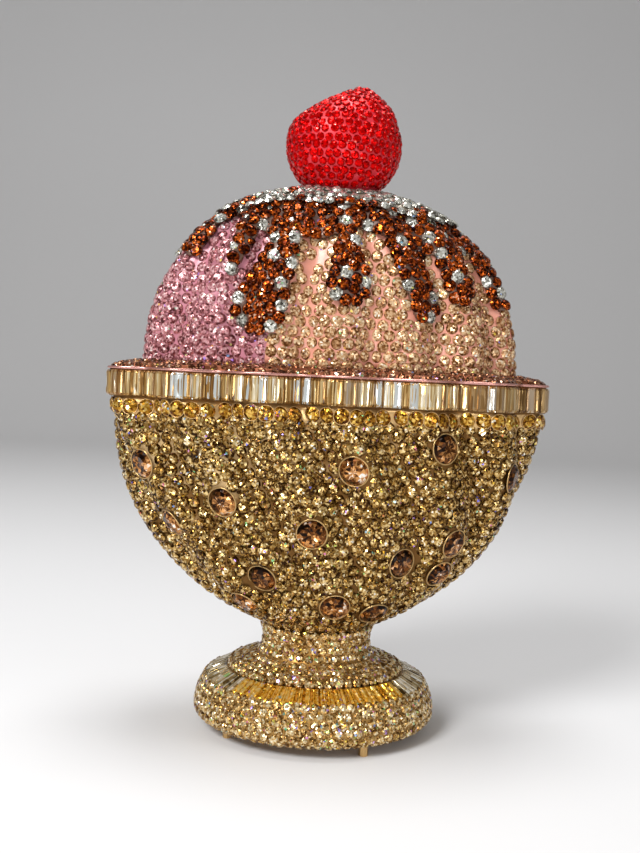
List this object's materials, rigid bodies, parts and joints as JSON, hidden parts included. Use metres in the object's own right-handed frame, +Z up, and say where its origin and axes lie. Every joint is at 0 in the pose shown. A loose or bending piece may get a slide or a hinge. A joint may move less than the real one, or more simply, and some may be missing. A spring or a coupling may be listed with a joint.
{
  "type": "crystal ice cream sundae ornament",
  "caption": "Oval evening-bag-sized ornament shaped as an ice cream sundae: swirl-fluted footed glass, pink and peach scoops, brown sauce, cream and a cherry, all set with crystals.",
  "frame": {"origin": "centre of the bounding box at the tips of the pins it stands on", "axes": "+Z up to the top of the cherry, +X along the wide side, -Y towards the viewer of the front"},
  "size_m": [0.113, 0.0566, 0.1654],
  "materials": {
    "champagne_stones": "round-cut crystals set close together, champagne gold",
    "foot_stones": "small round-cut crystals, pale champagne",
    "gold_baguettes": "step-cut baguette crystals, gold with some clear and brown",
    "amber_baguettes": "tapered baguette crystals, amber",
    "amber_stones": "round-cut amber crystals in light bezels",
    "topaz_crystals": "large round-cut topaz crystals",
    "rose_gold_metal": "polished rose-gold plating",
    "rose_brown_stones": "small round-cut crystals, rose brown",
    "pink_stones": "round-cut pale pink crystals",
    "peach_stones": "round-cut peach crystals",
    "cognac_stones": "round-cut cognac-brown crystals with a few clear ones",
    "clear_stones": "round-cut clear crystals",
    "red_stones": "small round-cut red crystals"
  },
  "bodies": {
    "root": {"foot_rim": "foot_stones", "foot_baguettes": "amber_baguettes", "stem": "foot_stones", "foot_pin_1": "rose_gold_metal", "foot_pin_2": "rose_gold_metal", "foot_pin_3": "rose_gold_metal", "foot_pin_4": "rose_gold_metal", "crystal_01": "topaz_crystals", "crystal_02": "topaz_crystals", "crystal_03": "topaz_crystals", "crystal_04": "topaz_crystals", "crystal_05": "topaz_crystals", "crystal_06": "topaz_crystals", "crystal_07": "topaz_crystals", "crystal_08": "topaz_crystals", "crystal_09": "topaz_crystals", "crystal_10": "topaz_crystals", "crystal_11": "topaz_crystals", "crystal_12": "topaz_crystals", "crystal_13": "topaz_crystals", "crystal_14": "topaz_crystals", "crystal_15": "topaz_crystals", "crystal_16": "topaz_crystals", "crystal_17": "topaz_crystals", "crystal_18": "topaz_crystals", "crystal_19": "topaz_crystals", "crystal_20": "topaz_crystals", "crystal_21": "topaz_crystals", "crystal_22": "topaz_crystals", "crystal_23": "topaz_crystals", "crystal_24": "topaz_crystals", "crystal_25": "topaz_crystals", "crystal_26": "topaz_crystals", "crystal_27": "topaz_crystals", "crystal_28": "topaz_crystals", "bowl": "champagne_stones", "amber_row": "amber_stones", "rim_baguettes": "gold_baguettes", "rim_frame": "rose_gold_metal", "rim_flange": "rose_brown_stones", "scoop_pink": "pink_stones", "scoop_peach": "peach_stones", "sauce": "cognac_stones", "cream_cap": "clear_stones", "cherry": "red_stones"}
  },
  "joints": []
}
